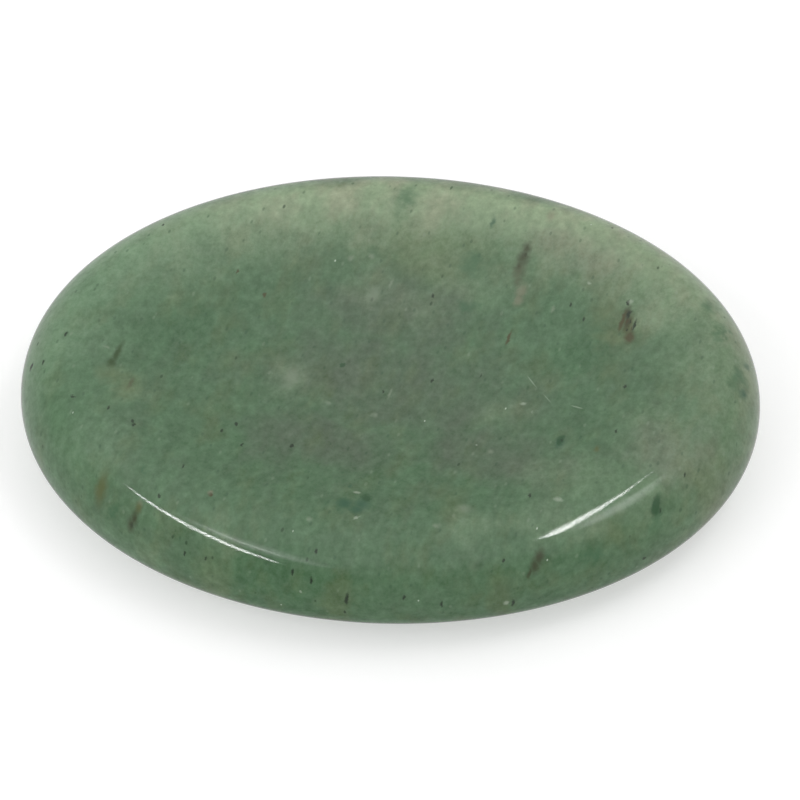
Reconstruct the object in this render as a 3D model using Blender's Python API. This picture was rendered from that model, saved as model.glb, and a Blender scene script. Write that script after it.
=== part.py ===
"""Green aventurine worry stone: a polished oval pebble with a thumb dish ground into its top.

Metres, +Z up. The stone lies on its underside, its length along X and its width
along Y. The origin is the middle of the small flat spot that it rests on.
"""

import math

import bmesh
import bpy

# Driving dimensions of the whole stone
LENGTH = 0.045
WIDTH = 0.035
THICKNESS = 0.007

# The side is rounded over like the edge of a bar of soap, and this is how far the rounding reaches in.
SIDE_REACH = 0.0035

# The dish starts at the top of the rounding. It is a shallow bowl whose rim is softened by polishing.
DISH_DEPTH = 0.0016
DISH_RIM = 0.0026

# The underside is a low dome, worn flat where the stone rests.
UNDERSIDE_RISE = 0.0006
FLAT_SHARE = 0.42

# How finely the curves are stepped
TURN_STEPS = 96
DISH_STEPS = 9
SIDE_STEPS = 7
UNDERSIDE_STEPS = 4

# The flattest oval inside the rounding, which the dish's rim and the dome's rim both follow
CORE_LENGTH = LENGTH / 2 - SIDE_REACH
CORE_WIDTH = WIDTH / 2 - SIDE_REACH

STONE_COLOUR = (0.105, 0.175, 0.108, 1.0)
STONE_ROUGHNESS = 0.12


def clear_scene():
    for thing in list(bpy.data.objects):
        bpy.data.objects.remove(thing, do_unlink=True)


def core_point(turn):
    """The core oval's point at this turn, and the way out from it square to the oval."""
    x = CORE_LENGTH * math.cos(turn)
    y = CORE_WIDTH * math.sin(turn)
    out_x = CORE_WIDTH * math.cos(turn)
    out_y = CORE_LENGTH * math.sin(turn)
    size = math.hypot(out_x, out_y)
    return x, y, out_x / size, out_y / size


def rounding(lean, height):
    """A quarter oval's reach outwards and upwards where its surface leans by this angle from level."""
    across = SIDE_REACH * math.sin(lean)
    up = height * math.cos(lean)
    size = math.hypot(across, up)
    return SIDE_REACH * across / size, height * up / size


def dish_drop(share, core_radius):
    """How far the dish lies under its rim, at this share of the way from the middle to the rim.

    A parabola gives the bowl. Near the rim it eases out to level over DISH_RIM.
    """
    rim_share = DISH_RIM / core_radius
    bowl_share = 1 - rim_share
    bowl_depth = DISH_DEPTH / bowl_share
    if share <= bowl_share:
        return DISH_DEPTH - bowl_depth * share * share
    left = (1 - share) / rim_share
    return bowl_depth * bowl_share * rim_share * left * left


def dish_point(turn, share):
    x, y, _, _ = core_point(turn)
    drop = dish_drop(share, math.hypot(x, y))
    return x * share, y * share, THICKNESS - drop


def upper_side_point(turn, lean):
    x, y, out_x, out_y = core_point(turn)
    out, up = rounding(lean, THICKNESS / 2)
    return x + out * out_x, y + out * out_y, THICKNESS / 2 + up


def lower_point(turn, share, lean):
    """A point of the dome at this share of the core oval, carried out and down by the rounding."""
    x, y, out_x, out_y = core_point(turn)
    height = THICKNESS / 2 - UNDERSIDE_RISE
    out, down = rounding(lean, height)
    dome = UNDERSIDE_RISE * (1 - share * share) / (1 - FLAT_SHARE * FLAT_SHARE)
    z = THICKNESS / 2 - dome - down
    return x * share + out * out_x, y * share + out * out_y, max(z, 0.0)


def dome_lean(turn, share):
    """How far the dome's surface leans from level at this share of the core oval."""
    steepness = 2 * UNDERSIDE_RISE * share / (1 - FLAT_SHARE * FLAT_SHARE)
    return math.atan(steepness * math.hypot(math.cos(turn) / CORE_LENGTH, math.sin(turn) / CORE_WIDTH))


def ring(mesh, place):
    """One closed row of vertices round the stone, each where place puts it for its turn."""
    turns = [2 * math.pi * step / TURN_STEPS for step in range(TURN_STEPS)]
    return [mesh.verts.new(place(turn)) for turn in turns]


def lower_side_point(turn, level):
    """The lower half of the rounding, from upright at level 1 to the dome's own lean at level 0."""
    rim_lean = dome_lean(turn, 1)
    return lower_point(turn, 1, rim_lean + (math.pi / 2 - rim_lean) * level)


def flat_spot_point(turn):
    x, y, _, _ = core_point(turn)
    return x * FLAT_SHARE, y * FLAT_SHARE, 0.0


def stone_rings(mesh):
    """The rows of vertices from next to the dish's middle, over the side, to the flat spot's edge."""
    rings = []
    for step in range(1, DISH_STEPS + 1):
        share = step / DISH_STEPS
        rings.append(ring(mesh, lambda turn: dish_point(turn, share)))
    for step in range(1, SIDE_STEPS + 1):
        lean = math.pi / 2 * step / SIDE_STEPS
        rings.append(ring(mesh, lambda turn: upper_side_point(turn, lean)))
    for step in range(1, SIDE_STEPS + 1):
        level = 1 - step / SIDE_STEPS
        rings.append(ring(mesh, lambda turn: lower_side_point(turn, level)))
    for step in range(1, UNDERSIDE_STEPS):
        share = 1 - (1 - FLAT_SHARE) * step / UNDERSIDE_STEPS
        rings.append(ring(mesh, lambda turn: lower_point(turn, share, dome_lean(turn, share))))
    rings.append(ring(mesh, flat_spot_point))
    return rings


def build_stone():
    mesh = bmesh.new()
    rings = stone_rings(mesh)
    middle = mesh.verts.new((0.0, 0.0, THICKNESS - DISH_DEPTH))
    for step in range(TURN_STEPS):
        following = (step + 1) % TURN_STEPS
        mesh.faces.new((middle, rings[0][step], rings[0][following]))
        for inner, outer in zip(rings, rings[1:]):
            mesh.faces.new((inner[step], outer[step], outer[following], inner[following]))
    mesh.faces.new(list(reversed(rings[-1])))
    bmesh.ops.recalc_face_normals(mesh, faces=mesh.faces)

    data = bpy.data.meshes.new("worry_stone")
    mesh.to_mesh(data)
    mesh.free()
    data.shade_smooth()
    stone = bpy.data.objects.new("worry_stone", data)
    bpy.context.scene.collection.objects.link(stone)
    return stone


def polished_aventurine():
    material = bpy.data.materials.new("polished_aventurine")
    material.use_nodes = True
    shader = material.node_tree.nodes["Principled BSDF"]
    shader.inputs["Base Color"].default_value = STONE_COLOUR
    shader.inputs["Roughness"].default_value = STONE_ROUGHNESS
    shader.inputs["Metallic"].default_value = 0.0
    return material


def main():
    clear_scene()
    stone = build_stone()
    stone.data.materials.append(polished_aventurine())


main()
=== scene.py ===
"""Looks of the green aventurine worry stone: its fine surface, its colour and inclusions, and a soft studio.

Everything is in metres in the stone's own frame: the origin is the middle of the flat spot that it
rests on, X runs along its length and +Z points up through the thumb dish. Places of markings are
written in millimetres in the same frame.
"""

import math
from collections import namedtuple

import bpy
from mathutils import Matrix, Vector


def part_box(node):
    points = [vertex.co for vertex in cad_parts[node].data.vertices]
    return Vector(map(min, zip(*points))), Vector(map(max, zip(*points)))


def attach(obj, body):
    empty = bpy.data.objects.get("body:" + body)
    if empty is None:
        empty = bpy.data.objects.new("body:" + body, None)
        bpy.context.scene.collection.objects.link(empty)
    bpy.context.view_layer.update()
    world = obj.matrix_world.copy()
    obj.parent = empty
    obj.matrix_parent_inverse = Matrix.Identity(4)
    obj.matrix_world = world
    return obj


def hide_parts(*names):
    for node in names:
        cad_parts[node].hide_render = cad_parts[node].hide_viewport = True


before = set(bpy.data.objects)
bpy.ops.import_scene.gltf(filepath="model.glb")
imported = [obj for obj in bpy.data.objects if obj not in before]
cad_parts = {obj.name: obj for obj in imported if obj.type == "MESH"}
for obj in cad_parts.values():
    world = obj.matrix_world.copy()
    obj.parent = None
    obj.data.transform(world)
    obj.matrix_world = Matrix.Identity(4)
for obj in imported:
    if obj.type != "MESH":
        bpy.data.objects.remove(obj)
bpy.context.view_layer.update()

bl_info = {
    "name": "Green aventurine worry stone",
    "version": (1, 0, 0),
    "blender": (4, 5, 0),
    "location": "3D View > Sidebar > Worry stone",
    "description": "Builds a polished aventurine worry stone and a soft studio round it",
    "category": "Object",
}

NODE = "worry_stone"
BODY = "root"
STONE_LOW, STONE_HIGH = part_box(NODE)
STONE_SIZE = STONE_HIGH - STONE_LOW
MM = 0.001

# The stone's faint banding leans this far from its width, and the flakes and stains in it lie along it.
FABRIC_TURN = math.radians(-14)
FABRIC_STRETCH = (1.0, 0.5, 0.8)
ALONG_BANDING = Matrix.Rotation(-FABRIC_TURN, 3, "Z")

# A soft oval of colour in the stone: its middle, and its half sizes across and along the banding, all in
# millimetres
Mark = namedtuple("Mark", "middle across along")

# Broad pale veils along the far side, which are painted glow of light soaking in through the stone there,
# and fainter veils of milky quartz. Veils and zones run right through the stone.
PAINTED_GLOW_VEILS = (
    Mark((0.0, 14.0, 0.0), 17.0, 5.5),
    Mark((12.4, 11.0, 0.0), 6.8, 4.4),
)
FAINT_VEILS = (
    Mark((1.5, 5.2, 0.0), 3.5, 2.0),
    Mark((-1.6, 6.8, 0.0), 2.6, 2.6),
    Mark((4.2, 7.4, 0.0), 5.4, 2.8),
    Mark((-20.5, 0.0, 0.0), 4.0, 5.4),
    Mark((-17.0, -8.5, 0.0), 3.5, 2.5),
    Mark((16.0, -8.0, 0.0), 3.6, 3.4),
    Mark((11.0, -12.5, 0.0), 4.0, 2.2),
    Mark((-9.1, -14.6, 0.0), 2.6, 1.8),
    Mark((15.5, -4.2, 0.0), 3.0, 3.0),
    Mark((16.8, -7.0, 0.0), 5.4, 4.2),
    Mark((15.0, -10.5, 0.0), 3.0, 2.4),
    Mark((11.5, -9.0, 0.0), 6.0, 3.6),
    Mark((6.2, -3.5, 0.0), 2.2, 2.0),
    Mark((5.2, -13.6, 0.0), 2.6, 1.8),
    Mark((9.0, -13.0, 0.0), 2.6, 1.4),
    Mark((-6.0, -0.8, 0.0), 2.0, 2.4),
    Mark((-16.0, -3.4, 0.0), 2.6, 2.2),
    Mark((-14.0, -14.2, 0.0), 3.6, 2.0),
    Mark((16.0, 4.0, 0.0), 1.6, 2.6),
)

# Greyer stone with less of the green mica
GREY_ZONES = (
    Mark((-3.5, -6.2, 0.0), 7.5, 3.8),
    Mark((0.5, -1.0, 0.0), 12.0, 7.0),
    Mark((6.0, -7.0, 0.0), 7.0, 3.6),
    Mark((0.5, 4.5, 0.0), 8.0, 4.5),
    Mark((12.0, 10.0, 0.0), 5.0, 3.6),
    Mark((17.0, -7.0, 0.0), 5.0, 4.0),
)

# Richer green stone with more of it, and painted shade: the broad zone along the front side darkens the side
# that faces away from the light.
GREEN_ZONES_AND_FRONT_SHADE = (
    Mark((-14.6, 3.4, 0.0), 6.5, 6.0),
    Mark((5.2, 9.0, 0.0), 1.8, 2.2),
    Mark((11.2, 1.5, 0.0), 3.4, 2.4),
    # Painted shade along the front side
    Mark((-6.0, -16.4, 0.0), 7.0, 2.2),
    Mark((14.5, -10.8, 0.0), 3.0, 2.4),
    Mark((-19.0, -4.0, 0.0), 3.0, 4.0),
)

# Olive stone, faintly stained by iron
OLIVE_ZONES = (
    Mark((-16.0, -3.0, 0.0), 1.6, 1.8),
    Mark((-9.5, -15.7, 0.0), 1.6, 1.6),
    Mark((-2.4, -17.0, 0.0), 1.3, 1.0),
    Mark((13.9, 3.4, 0.0), 1.9, 2.4),
    Mark((7.4, -16.4, 0.0), 1.6, 1.2),
    Mark((13.6, -12.6, 0.0), 1.4, 1.6),
    Mark((2.0, 9.5, 0.0), 4.6, 3.4),
    Mark((19.2, -8.2, 0.0), 1.6, 2.2),
)

# Rusty iron stains along cracks
RUST_MARKS = (
    Mark((14.25, 3.9, 6.6), 0.10, 0.35),
    Mark((14.5, 3.2, 6.6), 0.09, 0.40),
    Mark((13.95, 3.85, 6.5), 0.20, 1.15),
    Mark((14.4, 2.6, 6.5), 0.50, 0.70),
    Mark((7.1, 2.9, 5.8), 0.13, 0.85),
    Mark((-8.0, 5.5, 6.0), 0.19, 0.26),
    Mark((-9.8, 7.1, 6.4), 0.13, 0.26),
    Mark((-9.9, -11.9, 7.0), 0.17, 0.22),
)

# Ochre stains, softer and wider
OCHRE_MARKS = (
    Mark((14.35, 3.6, 6.6), 0.36, 1.15),
    Mark((-14.1, -12.3, 6.1), 0.36, 0.55),
    Mark((-16.45, -10.7, 5.8), 0.60, 1.55),
    Mark((12.6, -6.8, 6.6), 0.30, 0.42),
)

# Faint brown stains, and wide warm tints round some of the marks
UMBER_MARKS = (
    Mark((7.55, 8.1, 6.5), 0.62, 1.20),
    Mark((7.50, 7.3, 6.4), 0.44, 0.70),
    Mark((-15.4, -2.9, 6.8), 0.18, 0.90),
)
WARM_TINTS = (
    Mark((-16.7, -2.3, 6.9), 1.4, 1.3),
    Mark((-15.5, -3.6, 6.9), 1.3, 1.4),
    Mark((12.9, 4.4, 6.5), 1.4, 1.8),
    Mark((13.0, 2.6, 6.4), 1.6, 1.0),
)

# Olive streaks, where iron has stained the mica
MOSS_MARKS = (
    Mark((-16.45, -0.6, 6.8), 0.34, 1.60),
    Mark((-16.70, -1.4, 6.9), 0.42, 0.70),
)

# Grey-brown smears
SMOKE_MARKS = (
    Mark((14.25, 4.55, 6.6), 0.36, 0.80),
    Mark((14.3, 3.7, 6.6), 0.34, 0.95),
    Mark((9.45, -14.75, 5.9), 0.42, 0.80),
    Mark((9.20, -15.2, 5.65), 0.46, 0.80),
    Mark((8.90, -15.6, 5.4), 0.20, 0.60),
    Mark((-14.30, -12.6, 5.5), 0.40, 0.80),
    Mark((-14.60, -13.0, 5.3), 0.42, 0.80),
    Mark((7.95, 9.7, 6.8), 0.48, 0.85),
    Mark((7.80, 9.1, 6.7), 0.60, 0.95),
    Mark((7.55, 8.5, 6.6), 0.36, 0.60),
)

# Dark green mica gathered in spots, and wider soft patches of it
DARK_GREEN_MARKS = (
    Mark((10.45, -5.9, 6.2), 0.30, 0.65),
    Mark((-2.9, 0.4, 5.5), 0.22, 0.30),
    Mark((19.6, 4.8, 6.4), 0.18, 0.26),
    Mark((-0.8, -11.4, 6.8), 0.50, 0.50),
    Mark((16.15, -10.6, 6.1), 0.30, 1.00),
    Mark((3.1, 14.7, 7.0), 0.12, 0.35),
)
SOFT_GREEN_MARKS = (
    Mark((-2.0, -12.1, 6.9), 1.50, 0.90),
    Mark((16.2, -11.0, 5.9), 0.60, 1.70),
    Mark((0.3, 13.5, 7.0), 1.15, 2.00),
    Mark((21.0, -0.5, 6.3), 0.80, 1.60),
    Mark((19.3, 5.3, 6.6), 1.00, 1.20),
    Mark((19.9, 3.0, 6.7), 0.60, 1.50),
    Mark((20.4, 3.4, 6.2), 0.80, 0.45),
    Mark((4.7, 8.6, 6.2), 1.30, 1.60),
    Mark((4.4, 5.4, 5.8), 1.10, 0.80),
    Mark((-13.8, -10.0, 7.0), 0.30, 0.60),
    Mark((-15.6, -12.0, 5.2), 0.60, 0.90),
    Mark((12.5, -13.9, 5.3), 1.00, 1.00),
)

# Bluer patches, where the mica lies deeper
TEAL_MARKS = (
    Mark((5.8, 11.7, 6.8), 0.24, 0.70),
    Mark((-2.0, -12.0, 6.8), 0.85, 0.70),
    Mark((-1.0, -12.0, 6.8), 0.75, 0.80),
    Mark((-1.3, -12.5, 6.9), 0.65, 0.60),
    Mark((-1.8, -10.3, 6.6), 0.26, 0.30),
    Mark((10.40, -6.1, 6.2), 0.48, 0.85),
    Mark((21.3, -1.3, 6.0), 0.45, 0.70),
    Mark((21.5, 1.2, 5.7), 0.45, 0.55),
    Mark((20.3, 3.6, 6.2), 0.34, 0.22),
)

# Black flakes, thin and lying along the banding
BLACK_MARKS = (
    Mark((-14.60, -13.1, 5.3), 0.30, 0.40),
    Mark((14.3, 5.3, 6.7), 0.15, 0.30),
    Mark((14.35, 4.4, 6.6), 0.17, 0.50),
    Mark((14.7, 3.5, 6.6), 0.11, 0.70),
    Mark((14.45, 3.8, 6.6), 0.06, 0.22),
    Mark((14.25, 3.2, 6.6), 0.06, 0.22),
    Mark((8.0, -16.4, 3.6), 0.13, 0.40),
    Mark((-4.8, -16.4, 5.6), 0.11, 0.30),
    Mark((-3.7, -16.7, 5.3), 0.12, 0.30),
    Mark((-1.6, -17.3, 4.5), 0.17, 0.60),
    Mark((-3.45, -15.5, 6.5), 0.15, 0.24),
    Mark((1.7, -17.2, 4.7), 0.12, 0.26),
    Mark((3.9, -17.1, 4.2), 0.12, 0.30),
    Mark((-21.7, -1.0, 5.7), 0.11, 0.45),
    Mark((-18.8, -4.4, 7.0), 0.32, 0.14),
)

# Black specks
BLACK_DOTS = (
    (-16.5, -5.3, 7.0), (-15.0, -6.2, 6.9), (-14.9, -6.5, 6.9), (-9.7, -6.1, 6.3), (-8.9, -5.4, 6.1),
    (-8.4, -7.2, 6.3), (-5.5, -6.9, 6.0), (-11.7, -9.7, 6.9), (-12.9, -11.9, 6.7),
    (-11.2, -14.8, 5.0), (-9.9, -15.2, 5.2), (2.6, -0.6, 5.4), (5.5, -0.2, 5.6), (13.7, -5.3, 6.6),
    (8.75, -10.9, 6.9), (7.4, -15.3, 6.1), (-19.7, 0.7, 6.9), (-14.7, 10.6, 6.7), (2.3, 6.2, 5.8),
    (10.8, 5.4, 6.3), (11.6, 4.2, 6.3), (14.2, -1.5, 6.5), (10.5, -5.9, 6.4), (16.4, -10.8, 5.9),
    (17.8, -8.4, 6.4), (15.6, -12.7, 3.7), (-1.7, -17.5, 3.5), (-0.3, -1.65, 5.5), (-19.4, -7.6, 6.0),
    (-20.9, -1.2, 6.4),
)

# Pink quartz, tinted by iron
PINK_MARKS = (
    Mark((7.75, 6.5, 6.2), 0.54, 1.05),
    Mark((7.60, 5.9, 6.0), 0.45, 0.85),
    Mark((9.4, 12.4, 6.9), 0.50, 0.90),
    Mark((-9.9, -11.7, 7.0), 0.26, 0.30),
)

# Spots of clean quartz, and small bright ones
QUARTZ_MARKS = (
    Mark((-1.3, 6.1, 5.8), 0.66, 1.05),
    Mark((-0.3, 7.0, 6.0), 0.16, 0.75),
    Mark((-1.5, 5.0, 5.8), 0.45, 0.30),
    Mark((-5.9, -0.9, 5.6), 0.80, 1.50),
    Mark((-3.6, -2.9, 5.6), 0.34, 0.26),
    Mark((-0.7, -3.7, 5.6), 0.32, 0.34),
    Mark((0.1, -1.8, 5.5), 0.13, 0.70),
    Mark((-2.9, 8.8, 6.2), 0.26, 0.40),
    Mark((-1.6, 9.0, 6.2), 0.24, 0.36),
    Mark((-4.0, -13.5, 7.0), 0.30, 0.26),
    Mark((3.4, -13.6, 7.0), 0.38, 0.34),
    Mark((6.3, -6.8, 6.1), 0.34, 0.40),
    Mark((9.7, 5.1, 6.1), 0.22, 0.45),
    Mark((-14.0, -12.1, 6.2), 0.26, 0.30),
    Mark((-17.1, -0.2, 6.9), 0.40, 0.18),
    Mark((4.9, -12.1, 6.9), 0.70, 0.55),
)
WHITE_MARKS = (
    Mark((5.5, -6.2, 6.0), 0.10, 0.14),
    Mark((8.7, -3.3, 6.0), 0.14, 0.22),
    Mark((-4.3, -17.0, 4.6), 0.12, 0.12),
    Mark((14.45, 5.4, 6.75), 0.20, 0.26),
    Mark((11.9, 7.0, 6.6), 0.20, 0.13),
    Mark((-1.3, -13.2, 7.0), 0.14, 0.20),
    Mark((-1.4, -10.9, 6.6), 0.34, 0.16),
    Mark((10.4, -11.2, 7.0), 0.42, 0.26),
    Mark((7.6, -16.5, 3.7), 0.26, 0.26),
    Mark((8.15, -2.6, 5.8), 0.26, 0.16),
)

# Hair-fine scratches in the dish and slivers of bright quartz near its rim, from start to end
SCRATCHES = (
    ((8.2, 0.0, 5.7), (9.0, -1.4, 5.8)),
    ((9.2, -1.6, 5.9), (9.9, -2.7, 6.0)),
    ((10.9, -2.8, 6.1), (11.8, -3.2, 6.2)),
    ((-1.55, -13.45, 7.0), (-0.85, -12.9, 7.0)),
)

# Each kind of mark: how noise shakes its places, how much of it is soft edge, its strength and its colour
Stain = namedtuple("Stain", "marks shake edge strength colour")
STAINS = (
    Stain(SOFT_GREEN_MARKS, "wavy", 1.0, 0.62, "#325d3d"),
    Stain(TEAL_MARKS, "ragged", 1.0, 0.75, "#24503a"),
    Stain(QUARTZ_MARKS, "ragged", 1.0, 0.55, "#7d8b76"),
    Stain(PINK_MARKS, "ragged", 1.0, 0.50, "#847b68"),
    Stain(WARM_TINTS, "wavy", 1.0, 0.30, "#67704a"),
    Stain(OCHRE_MARKS, "ragged", 0.9, 0.85, "#555c33"),
    Stain(UMBER_MARKS, "ragged", 1.0, 0.62, "#4a452f"),
    Stain(MOSS_MARKS, "ragged", 0.9, 0.90, "#2b4319"),
    Stain(SMOKE_MARKS, "ragged", 0.9, 0.90, "#363c22"),
    Stain(DARK_GREEN_MARKS, "ragged", 0.6, 0.82, "#204826"),
    Stain(RUST_MARKS, "ragged", 0.7, 0.85, "#443b1f"),
    Stain(BLACK_MARKS, "ragged", 0.7, 0.90, "#0e1f0c"),
    Stain(WHITE_MARKS, "ragged", 0.8, 0.65, "#98a592"),
)

# Single specks and scratches, in millimetres
SPECK_RADIUS = 0.115
SPECK_STRENGTH = 0.85
SPECK_COLOUR = "#12210f"
SCRATCH_HALF_WIDTH = 0.07
SCRATCH_STRENGTH = 0.52
SCRATCH_COLOUR = "#8fa08b"

# Random flecks: cells to the millimetre, a fleck's radius as a share of its cell, the share of cells that
# hold one, their strength and their colour. Mica and pale grains come out about 0.2 mm across and 0.4 mm
# along the banding, and the painted glints half of that.
Fleck = namedtuple("Fleck", "per_mm radius chance strength colour")
FLECKS = (
    Fleck(1.1, 0.12, 0.11, 0.70, "#20391f"),
    Fleck(2.6, 0.28, 0.15, 0.40, "#28482f"),
    Fleck(1.9, 0.22, 0.12, 0.20, "#8c9a86"),
)
# Painted glints: pale points standing in for light caught by mica flakes
PAINTED_GLINTS = Fleck(0.9, 0.052, 0.22, 0.85, "#b9c6b5")

# Specks, flecks and scratches are full in this share of their radius and fade over the rest.
CORE_SHARE = 0.5

# Noise: features to the millimetre, finer layers in it, and how rough those are. The quartz grains are
# about half a millimetre.
Pattern = namedtuple("Pattern", "per_mm layers roughness")
GREY_CLOUDS = Pattern(0.35, 5.0, 0.62)
IRON_CLOUDS = Pattern(0.5, 3.0, 0.6)
STREAKS = Pattern(0.9, 5.0, 0.65)
GRAINS = Pattern(2.0, 5.0, 0.72)
GRAIN_STRETCH = (1.0, 0.75, 1.0)
GRAIN_RELIEF = 0.0025 * MM

# Noise that moves places about: features to the millimetre, finer layers, and twice the largest move in
# millimetres. Veils have cloudy edges, and marks ragged ones, because the colour follows the grains.
Shake = namedtuple("Shake", "per_mm layers distance")
CLOUDY = Shake(0.25, 4.0, 5.0)
WAVY = Shake(1.3, 5.0, 2.0)
RAGGED = Shake(2.4, 4.0, 0.4)
SHAKE_ROUGHNESS = 0.6

# A ramp turns values between low and high into values between at_low and at_high.
Ramp = namedtuple("Ramp", "low high at_low at_high")

# Noise mostly lies between these two levels.
NOISE_LOW, NOISE_HIGH = 0.3, 0.7
GREY_FROM_CLOUDS = Ramp(NOISE_LOW, NOISE_HIGH, -0.42, 0.42)
OLIVE_FROM_IRON = Ramp(0.50, 0.72, 0.0, 0.45)
WARM_FROM_IRON = Ramp(0.40, 0.62, 0.0, 1.0)
PALE_FROM_STREAKS = Ramp(NOISE_LOW, NOISE_HIGH, 0.93, 1.07)
LIGHT_FROM_GRAIN = Ramp(NOISE_LOW, NOISE_HIGH, 0.875, 1.125)
ROUGHNESS_FROM_GRAIN = Ramp(NOISE_LOW, NOISE_HIGH, 0.05, 0.03)

# Grains lie in lighter and darker clumps, which show less where the stone is pale.
CLUMPS_FROM_PALENESS = Ramp(0.0, 0.8, 0.11, 0.05)
CLEAR_GRAIN_SHARE = 0.045

# Painted glow, standing in for light that soaks in through the rounded side: the stone is paler towards an
# oval round it and on its far side, and fades again at its very edge. The oval's half sizes and the Y of
# its middle are in millimetres.
PAINTED_GLOW_OVAL = (28.2, 20.0)
PAINTED_GLOW_MIDDLE = -2.5
PAINTED_GLOW_FROM_REACH = Ramp(0.50, 0.90, 0.0, 1.0)
FADE_FROM_REACH = Ramp(0.85, 0.94, 1.0, 0.20)
PAINTED_GLOW_FROM_Y = Ramp(-14.0, 12.0, 0.0, 0.90)
MILKY_FROM_X = Ramp(-18.0, -5.0, 0.1, 1.0)

RICH_GREEN_AND_SHADE = "#3f6441"
OLIVE = "#54643f"
# Milky colour at the left end, for the veils and for the painted glow
GREEN_MILKY_AND_GLOW = "#7b9b7a"

# Camera, as the photograph has it
PICTURE_PIXELS = 800
CAMERA_TURN = 2.98
CAMERA_RISE = 46.95
CAMERA_DISTANCE = 0.250
PIXELS_PER_METRE = 16416
AIM_PIXEL = (390.0, 393.4)
SENSOR_WIDTH = 36.0

# Studio: long lamps stand where their reflections lie in the front of the rounded side. They are rows of
# panels or plain strips, and they fade across their width, softly or crisply. With a swell under 1 the
# widest place lies nearer the start.
Lamp = namedtuple("Lamp", "name start end across radiance panels panel_share crispness swell")
LAMPS = (
    Lamp("left_row", (-0.219, -0.018, 0.250), (-0.113, -0.257, 0.185), 0.021, 33.0, 25, 0.40, 6.0, 1.0),
    Lamp("left_glow", (-0.178, -0.060, 0.270), (-0.052, -0.248, 0.213), 0.075, 1.7, 1, 1.0, 2.2, 1.0),
    Lamp("left_line", (-0.160, -0.090, 0.268), (-0.095, -0.200, 0.230), 0.016, 4.0, 11, 0.5, 4.0, 1.0),
    Lamp("right_row", (0.116, -0.072, 0.290), (0.090, 0.138, 0.272), 0.024, 28.0, 24, 0.5, 4.5, 0.43),
    Lamp("right_glow", (0.146, -0.072, 0.272), (0.152, 0.076, 0.264), 0.095, 2.4, 1, 1.0, 2.4, 1.0),
)
LAMP_BLUNTNESS = 0.6

# The dome's brightness by height, from -1 straight down to 1 overhead. The three are added together.
HORIZON_LIGHT = Ramp(0.0, 0.35, 0.88, 0.75)
OVERHEAD_LIGHT = Ramp(0.35, 1.0, 0.0, 0.75)
UNDER_LIGHT = Ramp(-0.95, -0.70, -0.33, 0.0)
FLOOR_RADIUS = 3.0
FLOOR_CORNERS = 96

# The table lies a hair under the flat spot, so that the two faces don't share a plane.
CONTACT_GAP = 0.02 * MM


def linear(code):
    """An sRGB colour code such as #8fa08a as linear red, green, blue and full alpha."""
    parts = [int(code[place:place + 2], 16) / 255 for place in (1, 3, 5)]
    low = [part / 12.92 for part in parts]
    high = [((part + 0.055) / 1.055) ** 2.4 for part in parts]
    return (*[a if part <= 0.04045 else b for part, a, b in zip(parts, low, high)], 1.0)


def add(tree, kind, *values, output=0, **settings):
    """Adds a node, fills its inputs in order with numbers or links, and gives one of its outputs."""
    node = tree.nodes.new(kind)
    for name, value in settings.items():
        setattr(node, name, value)
    for socket, value in zip([s for s in node.inputs if s.enabled], values):
        if isinstance(value, bpy.types.NodeSocket):
            tree.links.new(value, socket)
        elif value is not None:
            socket.default_value = value
    if isinstance(output, str):
        return node.outputs[output]
    shown = [s for s in node.outputs if s.enabled]
    return shown[output] if shown else node


class StoneSettings(bpy.types.PropertyGroup):
    """Sizes of the stone, as the frame gives them, and its main colours."""

    length: bpy.props.FloatProperty(
        name="Length", description="Longest side of the oval",
        default=STONE_SIZE.x, min=0.01, unit="LENGTH")
    width: bpy.props.FloatProperty(
        name="Width", description="Shorter side of the oval",
        default=STONE_SIZE.y, min=0.01, unit="LENGTH")
    thickness: bpy.props.FloatProperty(
        name="Thickness", description="Height of the rim above the table",
        default=STONE_SIZE.z, min=0.002, unit="LENGTH")
    side_reach: bpy.props.FloatProperty(
        name="Side rounding", description="How far the rounded side reaches in",
        default=0.0035, min=0.0005, unit="LENGTH")
    dish_depth: bpy.props.FloatProperty(
        name="Dish depth", description="Depth of the thumb dish under its rim",
        default=0.0016, min=0.0, unit="LENGTH")
    dish_rim: bpy.props.FloatProperty(
        name="Dish rim", description="Width over which the dish eases out to its rim",
        default=0.0026, min=0.0005, unit="LENGTH")
    underside_rise: bpy.props.FloatProperty(
        name="Underside rise", description="Height of the low dome under the stone",
        default=0.0006, min=0.0, unit="LENGTH")
    flat_share: bpy.props.FloatProperty(
        name="Flat spot", description="Share of the underside that is worn flat",
        default=0.42, min=0.1, max=0.9, subtype="FACTOR")
    waviness: bpy.props.FloatProperty(
        name="Waviness", description="Depth of the slight waves that hand polishing leaves",
        default=0.000012, min=0.0, unit="LENGTH")
    pit_depth: bpy.props.FloatProperty(
        name="Pit depth", description="Depth of the tiny pits where mica has fallen out",
        default=0.00002, min=0.0, unit="LENGTH")
    body_green: bpy.props.FloatVectorProperty(
        name="Body green", description="Main colour of the stone",
        default=linear("#4c6b4c")[:3], size=3, min=0.0, max=1.0, subtype="COLOR")
    body_grey: bpy.props.FloatVectorProperty(
        name="Body grey", description="Greyer parts of the stone",
        default=linear("#50614c")[:3], size=3, min=0.0, max=1.0, subtype="COLOR")
    # The milky colours are also the colour of the painted glow along the far side and at the ends.
    milky: bpy.props.FloatVectorProperty(
        name="Milky quartz", description="Pale veils in the stone",
        default=linear("#91a483")[:3], size=3, min=0.0, max=1.0, subtype="COLOR")
    warm_milky_and_glow: bpy.props.FloatVectorProperty(
        name="Warm milky quartz", description="Veils that iron has tinted",
        default=linear("#99a286")[:3], size=3, min=0.0, max=1.0, subtype="COLOR")


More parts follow.
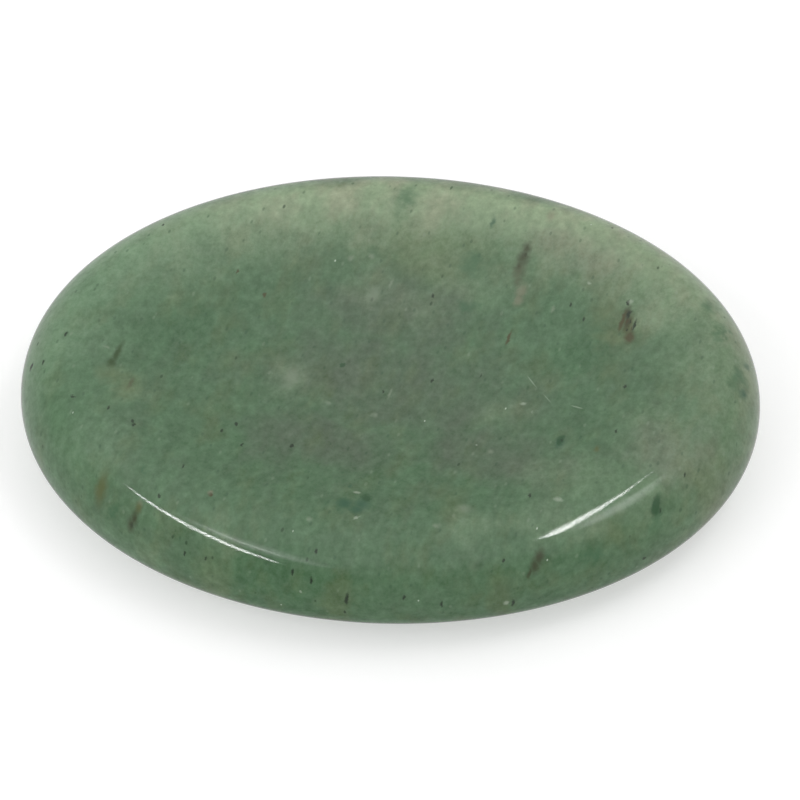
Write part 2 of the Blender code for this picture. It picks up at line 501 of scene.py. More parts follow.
class StageSettings(bpy.types.PropertyGroup):
    """What the studio looks like."""

    floor_colour: bpy.props.FloatVectorProperty(
        name="Floor", description="Colour of the table under the stone",
        default=linear("#c8c8c8")[:3], size=3, min=0.0, max=1.0, subtype="COLOR")
    floor_glow: bpy.props.FloatProperty(
        name="Floor glow", description="Light that the table itself gives",
        default=0.47, min=0.0)
    dome_strength: bpy.props.FloatProperty(
        name="Dome", description="Brightness of the soft light all round",
        default=0.68, min=0.0)


# The inputs of the tree that forms the stone, and the settings that fill them
SIZE_INPUTS = (
    ("Length", "length"),
    ("Width", "width"),
    ("Thickness", "thickness"),
    ("Side reach", "side_reach"),
    ("Dish depth", "dish_depth"),
    ("Dish rim", "dish_rim"),
    ("Underside rise", "underside_rise"),
    ("Flat share", "flat_share"),
    ("Waviness", "waviness"),
    ("Pit depth", "pit_depth"),
)
WAVE_SIZE = 3.0 * MM
WAVE_LAYERS = 1.0
WAVE_ROUGHNESS = 0.4
PIT_RADIUS = 0.45 * MM
PITS_PER_SQUARE_METRE = 22000.0
PIT_SEED = 7
TURN_STEPS = 440
PROFILE_STEPS = 200

# The mesh is a ball whose rows are moved to the stone's profile, and this share of them makes the dish.
DISH_ROWS = 0.34


def stone_tree(material):
    """The Geometry Nodes tree that makes the stone from its sizes."""
    tree = bpy.data.node_groups.new("stone_form", "GeometryNodeTree")
    tree.interface.new_socket("Geometry", in_out="OUTPUT", socket_type="NodeSocketGeometry")
    for name, _ in SIZE_INPUTS:
        tree.interface.new_socket(name, in_out="INPUT", socket_type="NodeSocketFloat")
    sizes = tree.nodes.new("NodeGroupInput").outputs

    ball = add(tree, "GeometryNodeMeshUVSphere", TURN_STEPS, PROFILE_STEPS, 1.0)
    formed = add(tree, "GeometryNodeSetPosition", ball, None, stone_surface(tree, sizes))
    polished = add(tree, "GeometryNodeSetPosition", formed, None, None, polish_relief(tree, sizes, formed))
    rested = add(tree, "GeometryNodeSetPosition", polished, None, above_table(tree))
    smooth = add(tree, "GeometryNodeSetShadeSmooth", rested)
    real = add(tree, "GeometryNodeRealizeInstances", smooth)
    dressed = add(tree, "GeometryNodeSetMaterial", real, None, material)
    add(tree, "NodeGroupOutput", dressed)
    return tree


def stone_surface(tree, sizes):
    """Where each point of the ball goes on the stone.

    The oval core is widened by a quarter-oval rounding. The rows near the top pole make the dish,
    those near the bottom pole the underside, and the rows between them the rounded side.
    """
    place = add(tree, "GeometryNodeInputPosition")
    level = add(tree, "ShaderNodeVectorMath", place, (1.0, 1.0, 0.0), operation="MULTIPLY")
    radius = add(tree, "ShaderNodeVectorMath", level, operation="LENGTH")
    toward = add(tree, "ShaderNodeVectorMath", level, operation="NORMALIZE")
    height = add(tree, "ShaderNodeSeparateXYZ", place, output="Z")
    polar = add(tree, "ShaderNodeMath", radius, height, operation="ARCTAN2")
    row = add(tree, "ShaderNodeMath", polar, math.pi, operation="DIVIDE")
    row_back = add(tree, "ShaderNodeMath", 1.0, row, operation="SUBTRACT")
    nearest = add(tree, "ShaderNodeMath", row, row_back, operation="MINIMUM")
    share = add(tree, "ShaderNodeMapRange", nearest, 0.0, DISH_ROWS, 0.0, 1.0)
    side = add(tree, "ShaderNodeMapRange", nearest, DISH_ROWS, 0.5, 0.0, 1.0)
    upper = add(tree, "ShaderNodeMath", row, 0.5, operation="LESS_THAN")
    lower = add(tree, "ShaderNodeMath", 1.0, upper, operation="SUBTRACT")

    half_length = add(tree, "ShaderNodeMath", sizes["Length"], 0.5, operation="MULTIPLY")
    half_width = add(tree, "ShaderNodeMath", sizes["Width"], 0.5, operation="MULTIPLY")
    half_height = add(tree, "ShaderNodeMath", sizes["Thickness"], 0.5, operation="MULTIPLY")
    core_x = add(tree, "ShaderNodeMath", half_length, sizes["Side reach"], operation="SUBTRACT")
    core_y = add(tree, "ShaderNodeMath", half_width, sizes["Side reach"], operation="SUBTRACT")
    core_size = add(tree, "ShaderNodeCombineXYZ", core_x, core_y, 0.0)
    turned_size = add(tree, "ShaderNodeCombineXYZ", core_y, core_x, 0.0)
    core = add(tree, "ShaderNodeVectorMath", toward, core_size, operation="MULTIPLY")
    square_out = add(tree, "ShaderNodeVectorMath", toward, turned_size, operation="MULTIPLY")
    outward = add(tree, "ShaderNodeVectorMath", square_out, operation="NORMALIZE")

    # The dome under the stone, and how far it leans from level
    flat_squared = add(tree, "ShaderNodeMath", sizes["Flat share"], 2.0, operation="POWER")
    dome_part = add(tree, "ShaderNodeMath", 1.0, flat_squared, operation="SUBTRACT")
    dome_scale = add(tree, "ShaderNodeMath", sizes["Underside rise"], dome_part, operation="DIVIDE")
    per_core = add(tree, "ShaderNodeVectorMath", toward, core_size, operation="DIVIDE")
    per_core_size = add(tree, "ShaderNodeVectorMath", per_core, operation="LENGTH")
    twice_share = add(tree, "ShaderNodeMath", share, 2.0, operation="MULTIPLY")
    steep = add(tree, "ShaderNodeMath", dome_scale, twice_share, operation="MULTIPLY")
    steepness = add(tree, "ShaderNodeMath", steep, per_core_size, operation="MULTIPLY")
    dome_lean = add(tree, "ShaderNodeMath", steepness, operation="ARCTANGENT")
    start_lean = add(tree, "ShaderNodeMath", dome_lean, lower, operation="MULTIPLY")

    # The rounding: a quarter oval, read at the angle that its surface leans
    lean = add(tree, "ShaderNodeMapRange", side, 0.0, 1.0, start_lean, math.pi / 2)
    lean_sine = add(tree, "ShaderNodeMath", lean, operation="SINE")
    lean_cosine = add(tree, "ShaderNodeMath", lean, operation="COSINE")
    lower_rise = add(tree, "ShaderNodeMath", sizes["Underside rise"], lower, operation="MULTIPLY")
    round_height = add(tree, "ShaderNodeMath", half_height, lower_rise, operation="SUBTRACT")
    across = add(tree, "ShaderNodeMath", sizes["Side reach"], lean_sine, operation="MULTIPLY")
    along_up = add(tree, "ShaderNodeMath", round_height, lean_cosine, operation="MULTIPLY")
    oval = add(tree, "ShaderNodeCombineXYZ", across, along_up, 0.0)
    oval_way = add(tree, "ShaderNodeVectorMath", oval, operation="NORMALIZE")
    oval_size = add(tree, "ShaderNodeCombineXYZ", sizes["Side reach"], round_height, 0.0)
    oval_point = add(tree, "ShaderNodeVectorMath", oval_way, oval_size, operation="MULTIPLY")
    out = add(tree, "ShaderNodeSeparateXYZ", oval_point, output="X")
    up = add(tree, "ShaderNodeSeparateXYZ", oval_point, output="Y")

    inner = add(tree, "ShaderNodeVectorMath", core, share, operation="SCALE")
    outer = add(tree, "ShaderNodeVectorMath", outward, out, operation="SCALE")
    plan = add(tree, "ShaderNodeVectorMath", inner, outer, operation="ADD")

    drop = dish_drop(tree, sizes, share, core)
    over = add(tree, "ShaderNodeMath", up, drop, operation="SUBTRACT")
    top = add(tree, "ShaderNodeMath", half_height, over, operation="ADD")
    share_squared = add(tree, "ShaderNodeMath", share, 2.0, operation="POWER")
    dome_left = add(tree, "ShaderNodeMath", 1.0, share_squared, operation="SUBTRACT")
    dome = add(tree, "ShaderNodeMath", dome_scale, dome_left, operation="MULTIPLY")
    under = add(tree, "ShaderNodeMath", up, dome, operation="ADD")
    bottom = add(tree, "ShaderNodeMath", half_height, under, operation="SUBTRACT")
    final_height = add(tree, "ShaderNodeMix", upper, bottom, top, data_type="FLOAT")
    lift = add(tree, "ShaderNodeCombineXYZ", 0.0, 0.0, final_height)
    return add(tree, "ShaderNodeVectorMath", plan, lift, operation="ADD")


def dish_drop(tree, sizes, share, core):
    """How far the dish lies under its rim: a parabola that eases out to level near the rim."""
    core_radius = add(tree, "ShaderNodeVectorMath", core, operation="LENGTH")
    rim_share = add(tree, "ShaderNodeMath", sizes["Dish rim"], core_radius, operation="DIVIDE")
    bowl_share = add(tree, "ShaderNodeMath", 1.0, rim_share, operation="SUBTRACT")
    bowl_depth = add(tree, "ShaderNodeMath", sizes["Dish depth"], bowl_share, operation="DIVIDE")
    beyond = add(tree, "ShaderNodeMath", share, bowl_share, operation="SUBTRACT")
    past_bowl = add(tree, "ShaderNodeMath", beyond, 0.0, operation="MAXIMUM")
    past_squared = add(tree, "ShaderNodeMath", past_bowl, 2.0, operation="POWER")
    eased = add(tree, "ShaderNodeMath", past_squared, rim_share, operation="DIVIDE")
    share_squared = add(tree, "ShaderNodeMath", share, 2.0, operation="POWER")
    curve = add(tree, "ShaderNodeMath", share_squared, eased, operation="SUBTRACT")
    bowl = add(tree, "ShaderNodeMath", bowl_depth, curve, operation="MULTIPLY")
    return add(tree, "ShaderNodeMath", sizes["Dish depth"], bowl, operation="SUBTRACT")


def polish_relief(tree, sizes, formed):
    """How far polishing has worn each point in: slight waves, and small pits where mica has fallen out."""
    waves = add(tree, "ShaderNodeTexNoise", None, 1.0 / WAVE_SIZE, WAVE_LAYERS, WAVE_ROUGHNESS)
    wave_depth = add(tree, "ShaderNodeMath", waves, sizes["Waviness"], operation="MULTIPLY")
    spots = add(tree, "GeometryNodeDistributePointsOnFaces", formed, None, PITS_PER_SQUARE_METRE)
    spots.node.inputs["Seed"].default_value = PIT_SEED
    away = add(tree, "GeometryNodeProximity", spots, output="Distance", target_element="POINTS")
    bowl = add(tree, "ShaderNodeMapRange", away, 0.0, PIT_RADIUS, 1.0, 0.0, interpolation_type="SMOOTHSTEP")
    pit_depth = add(tree, "ShaderNodeMath", bowl, sizes["Pit depth"], operation="MULTIPLY")
    worn = add(tree, "ShaderNodeMath", wave_depth, pit_depth, operation="ADD")
    inward = add(tree, "ShaderNodeMath", worn, -1.0, operation="MULTIPLY")
    normal = add(tree, "GeometryNodeInputNormal")
    return add(tree, "ShaderNodeVectorMath", normal, inward, operation="SCALE")


def above_table(tree):
    """No point lies lower than the table."""
    place = add(tree, "GeometryNodeInputPosition")
    return add(tree, "ShaderNodeVectorMath", place, (-1.0, -1.0, 0.0), operation="MAXIMUM")


def build_stone(settings):
    """The fine mesh of the stone, plain and with no modifier left on it."""
    material = polished_aventurine(settings)
    holder = bpy.data.objects.new("stone_maker", bpy.data.meshes.new("stone_maker"))
    bpy.context.scene.collection.objects.link(holder)
    tree = stone_tree(material)
    modifier = holder.modifiers.new("stone_form", "NODES")
    modifier.node_group = tree
    identifiers = {item.name: item.identifier for item in tree.interface.items_tree if item.in_out == "INPUT"}
    for name, setting in SIZE_INPUTS:
        modifier[identifiers[name]] = getattr(settings, setting)
    evaluated = holder.evaluated_get(bpy.context.evaluated_depsgraph_get())
    mesh = bpy.data.meshes.new_from_object(evaluated)
    holder.modifiers.remove(modifier)
    bpy.data.objects.remove(holder)
    mesh.name = "polished_stone"
    stone = bpy.data.objects.new("polished_stone", mesh)
    bpy.context.scene.collection.objects.link(stone)
    return stone


def ovals(tree, place, marks, edge, strength):
    """Where these marks lie, from 0 outside them to the strength in their middles, where place is turned."""
    nearest = None
    for mark in marks:
        middle = ALONG_BANDING @ Vector(mark.middle)
        sizes = Vector((mark.across, mark.along, mark.along))
        per_size = Vector([1 / size for size in sizes])
        shift = Vector([-at / size for at, size in zip(middle, sizes)])
        fitted = add(tree, "ShaderNodeVectorMath", place, per_size, shift, operation="MULTIPLY_ADD")
        away = add(tree, "ShaderNodeVectorMath", fitted, operation="LENGTH", output="Value")
        nearest = away if nearest is None else add(tree, "ShaderNodeMath", nearest, away, operation="MINIMUM")
    return add(tree, "ShaderNodeMapRange", nearest, 1 - edge, 1.0, strength, 0.0,
               interpolation_type="SMOOTHSTEP")


def dots(tree, place, middles, radius, strength):
    """Where these specks lie, where place is turned and stretched along the banding."""
    nearest = None
    for middle in middles:
        turned = ALONG_BANDING @ Vector(middle)
        spot = Vector([at * share for at, share in zip(turned, FABRIC_STRETCH)])
        away = add(tree, "ShaderNodeVectorMath", place, spot, operation="DISTANCE", output="Value")
        nearest = away if nearest is None else add(tree, "ShaderNodeMath", nearest, away, operation="MINIMUM")
    return add(tree, "ShaderNodeMapRange", nearest, radius * CORE_SHARE, radius, strength, 0.0)


def flecks(tree, place, kind):
    """Where random flecks of this kind lie, one in each chosen cell."""
    cells = add(tree, "ShaderNodeTexVoronoi", place, kind.per_mm, output="Distance")
    number = add(tree, "ShaderNodeSeparateColor", cells.node.outputs["Color"], output="Red")
    chosen = add(tree, "ShaderNodeMath", number, 1 - kind.chance, operation="GREATER_THAN")
    spot = add(tree, "ShaderNodeMapRange", cells, kind.radius * CORE_SHARE, kind.radius, kind.strength, 0.0)
    return add(tree, "ShaderNodeMath", spot, chosen, operation="MULTIPLY")


def scratches(tree, place, lines, half_width, strength):
    """Where these straight hair lines lie, full along their middles and fading to both sides."""
    nearest = None
    for start, end in lines:
        start, end = Vector(start), Vector(end)
        turn = (end - start).to_track_quat("X", "Z").to_euler()
        size = ((end - start).length / 2, half_width, half_width)
        fitted = add(tree, "ShaderNodeMapping", place, (start + end) / 2, turn, size, vector_type="TEXTURE")
        ball = add(tree, "ShaderNodeTexGradient", fitted, gradient_type="SPHERICAL", output="Fac")
        nearest = ball if nearest is None else add(tree, "ShaderNodeMath", nearest, ball, operation="MAXIMUM")
    return add(tree, "ShaderNodeMapRange", nearest, 0.0, 1 - CORE_SHARE, 0.0, strength)


def blend(tree, share, under, over, kind="MIX"):
    """Two colours mixed by this share. A colour may be a link, a code or three numbers."""
    colours = []
    for colour in (under, over):
        if isinstance(colour, str):
            colour = linear(colour)
        elif not isinstance(colour, bpy.types.NodeSocket):
            colour = (*colour, 1.0)
        colours.append(colour)
    return add(tree, "ShaderNodeMix", share, *colours, data_type="RGBA", blend_type=kind)


def shaken(tree, place, shake):
    """The place moved about by noise, by up to half the shake's distance each way."""
    noise = add(tree, "ShaderNodeTexNoise", place, shake.per_mm, shake.layers, SHAKE_ROUGHNESS,
                output="Color")
    centred = add(tree, "ShaderNodeVectorMath", noise, (0.5, 0.5, 0.5), operation="SUBTRACT")
    step = add(tree, "ShaderNodeVectorMath", centred, shake.distance, operation="SCALE")
    return add(tree, "ShaderNodeVectorMath", place, step, operation="ADD")


Places = namedtuple("Places", "plain turned banded cloudy wavy ragged")


def stone_places(tree):
    """The place in millimetres: plain, turned to the banding, stretched along it, and shaken three ways."""
    metres = add(tree, "ShaderNodeTexCoord", output="Object")
    plain = add(tree, "ShaderNodeVectorMath", metres, 1 / MM, operation="SCALE")
    turned = add(tree, "ShaderNodeVectorRotate", plain, None, -FABRIC_TURN, rotation_type="Z_AXIS")
    banded = add(tree, "ShaderNodeVectorMath", turned, FABRIC_STRETCH, operation="MULTIPLY")
    cloudy_place = shaken(tree, turned, CLOUDY)
    cloudy = add(tree, "ShaderNodeVectorMath", cloudy_place, (1.0, 1.0, 0.0), operation="MULTIPLY")
    wavy = shaken(tree, turned, WAVY)
    ragged = shaken(tree, turned, RAGGED)
    return Places(plain, turned, banded, cloudy, wavy, ragged)


def body_colour(tree, places, settings, iron):
    """Clouds of greener, greyer and olive stone, several millimetres across."""
    cloud = add(tree, "ShaderNodeTexNoise", places.banded, *GREY_CLOUDS)
    cloud_share = add(tree, "ShaderNodeMapRange", cloud, *GREY_FROM_CLOUDS, clamp=False)
    grey_zone = ovals(tree, places.cloudy, GREY_ZONES, edge=0.8, strength=0.85)
    grey_share = add(tree, "ShaderNodeMath", cloud_share, grey_zone, operation="ADD", use_clamp=True)
    grey = blend(tree, grey_share, settings.body_green, settings.body_grey)
    # Richer green patches, and painted shade along the front side
    green_and_front_shade = ovals(tree, places.cloudy, GREEN_ZONES_AND_FRONT_SHADE, edge=0.8, strength=0.6)
    green = blend(tree, green_and_front_shade, grey, RICH_GREEN_AND_SHADE)
    olive_cloud = add(tree, "ShaderNodeMapRange", iron, *OLIVE_FROM_IRON)
    olive_zone = ovals(tree, places.cloudy, OLIVE_ZONES, edge=0.8, strength=0.5)
    olive_share = add(tree, "ShaderNodeMath", olive_cloud, olive_zone, operation="MAXIMUM")
    return blend(tree, olive_share, green, OLIVE)


def paleness_and_painted_glow(tree, places, streaks):
    """How milky the stone is, from 0 to 1, painted glow included.

    Light that soaks in through the rounded side is painted in as paleness along the far side and at the ends.
    """
    untilted = add(tree, "ShaderNodeVectorRotate", places.cloudy, None, FABRIC_TURN, rotation_type="Z_AXIS")
    per_size = (1 / PAINTED_GLOW_OVAL[0], 1 / PAINTED_GLOW_OVAL[1], 0.0)
    shift = (0.0, -PAINTED_GLOW_MIDDLE / PAINTED_GLOW_OVAL[1], 0.0)
    in_ovals = add(tree, "ShaderNodeVectorMath", untilted, per_size, shift, operation="MULTIPLY_ADD")
    reach = add(tree, "ShaderNodeVectorMath", in_ovals, operation="LENGTH", output="Value")
    # Painted glow: paler towards the oval round the stone and on its far side, with the very edge faded
    rim = add(tree, "ShaderNodeMapRange", reach, *PAINTED_GLOW_FROM_REACH, interpolation_type="SMOOTHSTEP")
    fade = add(tree, "ShaderNodeMapRange", reach, *FADE_FROM_REACH, interpolation_type="SMOOTHSTEP")
    y_place = add(tree, "ShaderNodeSeparateXYZ", places.plain, output="Y")
    painted_far_glow = add(tree, "ShaderNodeMapRange", y_place, *PAINTED_GLOW_FROM_Y)
    rim_share = add(tree, "ShaderNodeMath", rim, painted_far_glow, operation="MULTIPLY")
    # Broad pale veils along the far side: painted glow, laid on in the milky colour
    glow_veil_share = ovals(tree, places.cloudy, PAINTED_GLOW_VEILS, edge=0.9, strength=0.56)
    faint_share = ovals(tree, places.cloudy, FAINT_VEILS, edge=0.9, strength=0.15)
    most = add(tree, "ShaderNodeMath", rim_share, glow_veil_share, operation="MAXIMUM")
    total = add(tree, "ShaderNodeMath", most, faint_share, operation="ADD")
    inside = add(tree, "ShaderNodeMath", total, fade, operation="MULTIPLY")
    streak_share = add(tree, "ShaderNodeMapRange", streaks, *PALE_FROM_STREAKS)
    return add(tree, "ShaderNodeMath", inside, streak_share, operation="MULTIPLY", use_clamp=True)


def milky_and_glow_colour(tree, places, settings, iron):
    """The colour of the veils and of the painted glow: greener at the left end, and warm where iron has
    tinted them.
    """
    x_place = add(tree, "ShaderNodeSeparateXYZ", places.plain, output="X")
    milky_share = add(tree, "ShaderNodeMapRange", x_place, *MILKY_FROM_X)
    warm_share = add(tree, "ShaderNodeMapRange", iron, *WARM_FROM_IRON)
    tint = blend(tree, warm_share, settings.milky, settings.warm_milky_and_glow)
    return blend(tree, milky_share, GREEN_MILKY_AND_GLOW, tint)


def grained_colour(tree, colour, grain, streaks, pale_and_glow):
    """The colour lightened and darkened by the quartz grains and by clumps of them."""
    grain_light = add(tree, "ShaderNodeMapRange", grain, *LIGHT_FROM_GRAIN)
    clump_depth = add(tree, "ShaderNodeMapRange", pale_and_glow, *CLUMPS_FROM_PALENESS)
    clump_dark = add(tree, "ShaderNodeMath", 1.0, clump_depth, operation="SUBTRACT")
    clump_pale = add(tree, "ShaderNodeMath", 1.0, clump_depth, operation="ADD")
    clump_light = add(tree, "ShaderNodeMapRange", streaks, NOISE_LOW, NOISE_HIGH, clump_dark, clump_pale)
    light = add(tree, "ShaderNodeMath", grain_light, clump_light, operation="MULTIPLY")
    light_vector = add(tree, "ShaderNodeCombineXYZ", light, light, light)
    shaded = blend(tree, 1.0, colour, light_vector, "MULTIPLY")
    clear = add(tree, "ShaderNodeCombineXYZ", grain, grain, grain)
    return blend(tree, CLEAR_GRAIN_SHARE, shaded, clear, "LINEAR_LIGHT")


def marked_colour(tree, places, colour):
    """The colour under flecks, inclusions, specks, painted glints where mica catches the light, and
    scratches, all level with the surface.
    """
    for kind in FLECKS:
        colour = blend(tree, flecks(tree, places.banded, kind), colour, kind.colour)
    for stain in STAINS:
        at = getattr(places, stain.shake)
        colour = blend(tree, ovals(tree, at, stain.marks, stain.edge, stain.strength), colour, stain.colour)
    ragged_banded = add(tree, "ShaderNodeVectorMath", places.ragged, FABRIC_STRETCH, operation="MULTIPLY")
    specks = dots(tree, ragged_banded, BLACK_DOTS, SPECK_RADIUS, SPECK_STRENGTH)
    specked = blend(tree, specks, colour, SPECK_COLOUR)
    # Painted glints of mica catching the light
    with_painted_glints = blend(tree, flecks(tree, places.banded, PAINTED_GLINTS), specked, PAINTED_GLINTS.colour)
    lines = scratches(tree, places.plain, SCRATCHES, SCRATCH_HALF_WIDTH, SCRATCH_STRENGTH)
    return blend(tree, lines, with_painted_glints, SCRATCH_COLOUR)


def polished_aventurine(settings):
    """Green aventurine, a quartzite with green mica, tumbled and buffed.

    The quartz grains make it slightly translucent and mottled at half a millimetre, the mica gives
    dark green flecks, iron gives rusty stains, and the buffed face reflects like glass.
    """
    material = bpy.data.materials.new("polished_aventurine")
    material.use_nodes = True
    tree = material.node_tree
    shader = tree.nodes["Principled BSDF"]

    places = stone_places(tree)
    iron = add(tree, "ShaderNodeTexNoise", places.banded, *IRON_CLOUDS)
    streaks = add(tree, "ShaderNodeTexNoise", places.banded, *STREAKS)
    grainy = add(tree, "ShaderNodeVectorMath", places.turned, GRAIN_STRETCH, operation="MULTIPLY")
    grain = add(tree, "ShaderNodeTexNoise", grainy, *GRAINS)
    body = body_colour(tree, places, settings, iron)
    # Milky veils, and painted glow of light soaking in through the rounded side
    pale_and_glow = paleness_and_painted_glow(tree, places, streaks)
    veiled_and_glowing = blend(tree, pale_and_glow, body, milky_and_glow_colour(tree, places, settings, iron))
    grained = grained_colour(tree, veiled_and_glowing, grain, streaks, pale_and_glow)
    marked = marked_colour(tree, places, grained)
    tree.links.new(marked, shader.inputs["Base Color"])

    # Buffing leaves the softer mica a little lower and duller than the quartz.
    gloss = add(tree, "ShaderNodeMapRange", grain, *ROUGHNESS_FROM_GRAIN)
    tree.links.new(gloss, shader.inputs["Roughness"])
    bump = add(tree, "ShaderNodeBump")
    bump.node.inputs["Distance"].default_value = GRAIN_RELIEF
    tree.links.new(grain, bump.node.inputs["Height"])
    tree.links.new(bump, shader.inputs["Normal"])

    shader.inputs["IOR"].default_value = 1.544
    shader.inputs["Metallic"].default_value = 0.0
    shader.inputs["Subsurface Weight"].default_value = 0.35
    shader.inputs["Subsurface Radius"].default_value = (0.7, 1.0, 0.7)
    shader.inputs["Subsurface Scale"].default_value = 0.0015
    return material


def build_floor(settings):
    """A plain pale table, wide enough for every view, with a faint light of its own like a light table."""
    mesh = bpy.data.meshes.new("table_top")
    turns = [2 * math.pi * step / FLOOR_CORNERS for step in range(FLOOR_CORNERS)]
    points = [(FLOOR_RADIUS * math.cos(turn), FLOOR_RADIUS * math.sin(turn), -CONTACT_GAP) for turn in turns]
    mesh.from_pydata(points, [], [list(range(FLOOR_CORNERS))])
    material = bpy.data.materials.new("matt_white_card")
    material.use_nodes = True
    shader = material.node_tree.nodes["Principled BSDF"]
    shader.inputs["Base Color"].default_value = (*settings.floor_colour, 1.0)
    shader.inputs["Roughness"].default_value = 0.9
    shader.inputs["Specular IOR Level"].default_value = 0.0
    shader.inputs["Emission Color"].default_value = (1.0, 1.0, 1.0, 1.0)
    shader.inputs["Emission Strength"].default_value = settings.floor_glow
    mesh.materials.append(material)
    floor = bpy.data.objects.new("table_top", mesh)
    bpy.context.scene.collection.objects.link(floor)
    # The polish mirrors the dim lower dome here, not the white table, so that the stone's edge stays clear.
    floor.visible_glossy = False


def build_dome(settings):
    """Soft light from all round, strongest from overhead, and dim where only the polish mirrors it."""
    world = bpy.data.worlds.new("soft_dome")
    world.use_nodes = True
    tree = world.node_tree
    toward = add(tree, "ShaderNodeTexCoord", output="Generated")
    height = add(tree, "ShaderNodeSeparateXYZ", toward, output="Z")
    horizon = add(tree, "ShaderNodeMapRange", height, *HORIZON_LIGHT, interpolation_type="SMOOTHSTEP")
    overhead = add(tree, "ShaderNodeMapRange", height, *OVERHEAD_LIGHT, interpolation_type="SMOOTHSTEP")
    above = add(tree, "ShaderNodeMath", horizon, overhead, operation="ADD")
    under = add(tree, "ShaderNodeMapRange", height, *UNDER_LIGHT)
    brightness = add(tree, "ShaderNodeMath", above, under, operation="ADD")
    strength = add(tree, "ShaderNodeMath", brightness, settings.dome_strength, operation="MULTIPLY")
    tree.links.new(strength, tree.nodes["Background"].inputs["Strength"])
    tree.nodes["Background"].inputs["Color"].default_value = (1.0, 1.0, 1.0, 1.0)
    bpy.context.scene.world = world


def build_lamp(lamp):
    """A long flat lamp that faces the stone, narrower towards its ends and split into panels."""
    start, end = Vector(lamp.start), Vector(lamp.end)
    middle = (start + end) / 2
    along = (end - start).normalized()
    from_stone = middle - Vector((0.0, 0.0, STONE_HIGH.z))
    back = (from_stone - along * from_stone.dot(along)).normalized()
    data = bpy.data.lights.new(lamp.name, "AREA")
    data.shape = "RECTANGLE"
    data.size = (end - start).length
    data.size_y = lamp.across
    data.energy = math.pi * lamp.radiance * data.size * data.size_y
    data.use_nodes = True
    tree = data.node_tree
    face = add(tree, "ShaderNodeNewGeometry", output="Parametric")
    run = add(tree, "ShaderNodeSeparateXYZ", face, output="X")
    rise = add(tree, "ShaderNodeSeparateXYZ", face, output="Y")
    panels = add(tree, "ShaderNodeMath", run, lamp.panels, operation="MULTIPLY")
    leaning = add(tree, "ShaderNodeMath", panels, rise, operation="ADD")
    in_panel = add(tree, "ShaderNodeMath", leaning, operation="FRACT")
    lit = add(tree, "ShaderNodeMath", in_panel, lamp.panel_share, operation="LESS_THAN")
    swollen = add(tree, "ShaderNodeMath", run, lamp.swell, operation="POWER")
    turn = add(tree, "ShaderNodeMath", swollen, math.pi, operation="MULTIPLY")
    arch = add(tree, "ShaderNodeMath", turn, operation="SINE")
    blunt = add(tree, "ShaderNodeMath", arch, LAMP_BLUNTNESS, operation="POWER")
    taper = add(tree, "ShaderNodeMath", blunt, 0.5, operation="MULTIPLY")
    off_middle = add(tree, "ShaderNodeMath", rise, 0.5, operation="SUBTRACT")
    apart = add(tree, "ShaderNodeMath", off_middle, operation="ABSOLUTE")
    inside = add(tree, "ShaderNodeMath", taper, apart, operation="SUBTRACT")
    within = add(tree, "ShaderNodeMath", inside, lamp.crispness, operation="MULTIPLY", use_clamp=True)
    shining = add(tree, "ShaderNodeMath", lit, within, operation="MULTIPLY")
    tree.links.new(shining, tree.nodes["Emission"].inputs["Strength"])
    holder = bpy.data.objects.new(lamp.name, data)
    holder.matrix_world = Matrix((along, back.cross(along), back)).transposed().to_4x4()
    holder.location = middle
    bpy.context.scene.collection.objects.link(holder)


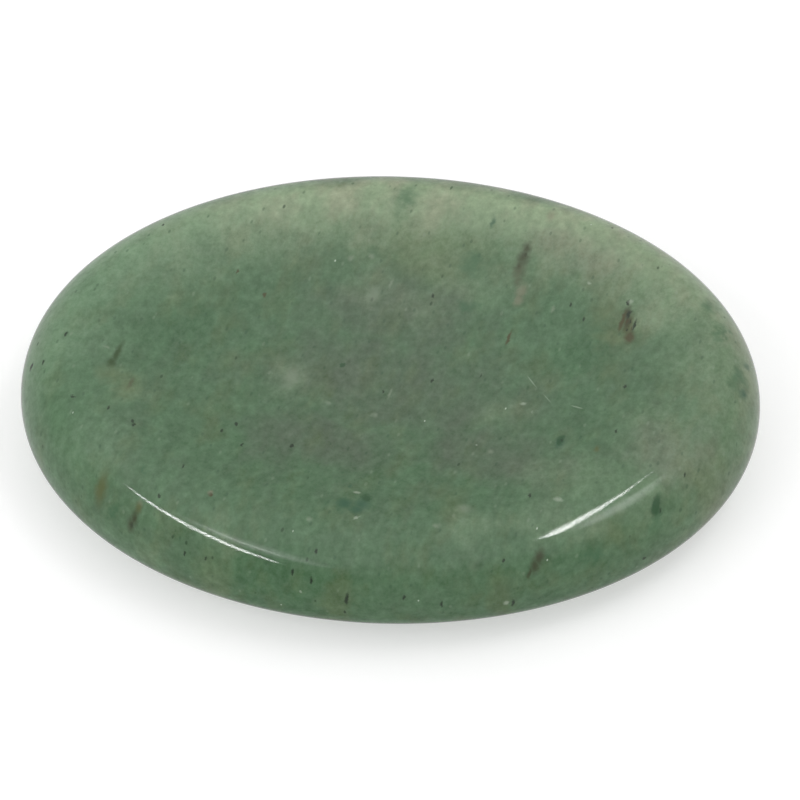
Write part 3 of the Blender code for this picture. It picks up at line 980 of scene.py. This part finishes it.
def build_camera():
    """A long lens at the photograph's angle, with the picture shifted as far as its framing needs."""
    turn, rise = math.radians(CAMERA_TURN), math.radians(CAMERA_RISE)
    back = Vector((math.sin(turn) * math.cos(rise), -math.cos(turn) * math.cos(rise), math.sin(rise)))
    data = bpy.data.cameras.new("camera")
    data.sensor_width = SENSOR_WIDTH
    data.lens = PIXELS_PER_METRE * CAMERA_DISTANCE / PICTURE_PIXELS * SENSOR_WIDTH
    data.shift_x = 0.5 - AIM_PIXEL[0] / PICTURE_PIXELS
    data.shift_y = AIM_PIXEL[1] / PICTURE_PIXELS - 0.5
    camera = bpy.data.objects.new("camera", data)
    camera.location = Vector((0.0, 0.0, STONE_HIGH.z / 2)) + back * CAMERA_DISTANCE
    camera.rotation_euler = (-back).to_track_quat("-Z", "Y").to_euler()
    data.clip_start = CAMERA_DISTANCE / 100
    data.clip_end = FLOOR_RADIUS * 4
    bpy.context.scene.collection.objects.link(camera)
    bpy.context.scene.camera = camera


class WORRYSTONE_OT_stone(bpy.types.Operator):
    """Build the polished stone in place of its plain solid"""

    bl_idname = "worrystone.stone"
    bl_label = "Polished stone"

    def execute(self, context):
        stone = build_stone(context.scene.worry_stone)
        if not stone.data.polygons:
            raise RuntimeError("the stone came out with no faces")
        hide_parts(NODE)
        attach(stone, BODY)
        return {"FINISHED"}


class WORRYSTONE_OT_stage(bpy.types.Operator):
    """Set up the table, the soft light and the camera"""

    bl_idname = "worrystone.stage"
    bl_label = "Studio"

    def execute(self, context):
        settings = context.scene.worry_stone_stage
        build_floor(settings)
        build_dome(settings)
        for lamp in LAMPS:
            build_lamp(lamp)
        build_camera()
        context.scene.view_settings.view_transform = "Standard"
        return {"FINISHED"}


class WORRYSTONE_PT_panel(bpy.types.Panel):
    """Lists the stone's sizes and what can be built"""

    bl_label = "Worry stone"
    bl_idname = "WORRYSTONE_PT_panel"
    bl_space_type = "VIEW_3D"
    bl_region_type = "UI"
    bl_category = "Worry stone"

    def draw(self, context):
        column = self.layout.column()
        for group in (context.scene.worry_stone, context.scene.worry_stone_stage):
            for name in group.__annotations__:
                column.prop(group, name)
        column.operator(WORRYSTONE_OT_stone.bl_idname)
        column.operator(WORRYSTONE_OT_stage.bl_idname)


CLASSES = (StoneSettings, StageSettings, WORRYSTONE_OT_stone, WORRYSTONE_OT_stage, WORRYSTONE_PT_panel)


def register():
    for item in CLASSES:
        bpy.utils.register_class(item)
    bpy.types.Scene.worry_stone = bpy.props.PointerProperty(type=StoneSettings)
    bpy.types.Scene.worry_stone_stage = bpy.props.PointerProperty(type=StageSettings)


def unregister():
    del bpy.types.Scene.worry_stone_stage
    del bpy.types.Scene.worry_stone
    for item in reversed(CLASSES):
        bpy.utils.unregister_class(item)


def main():
    register()
    bpy.ops.worrystone.stone()
    bpy.ops.worrystone.stage()


if __name__ == "__main__":
    main()
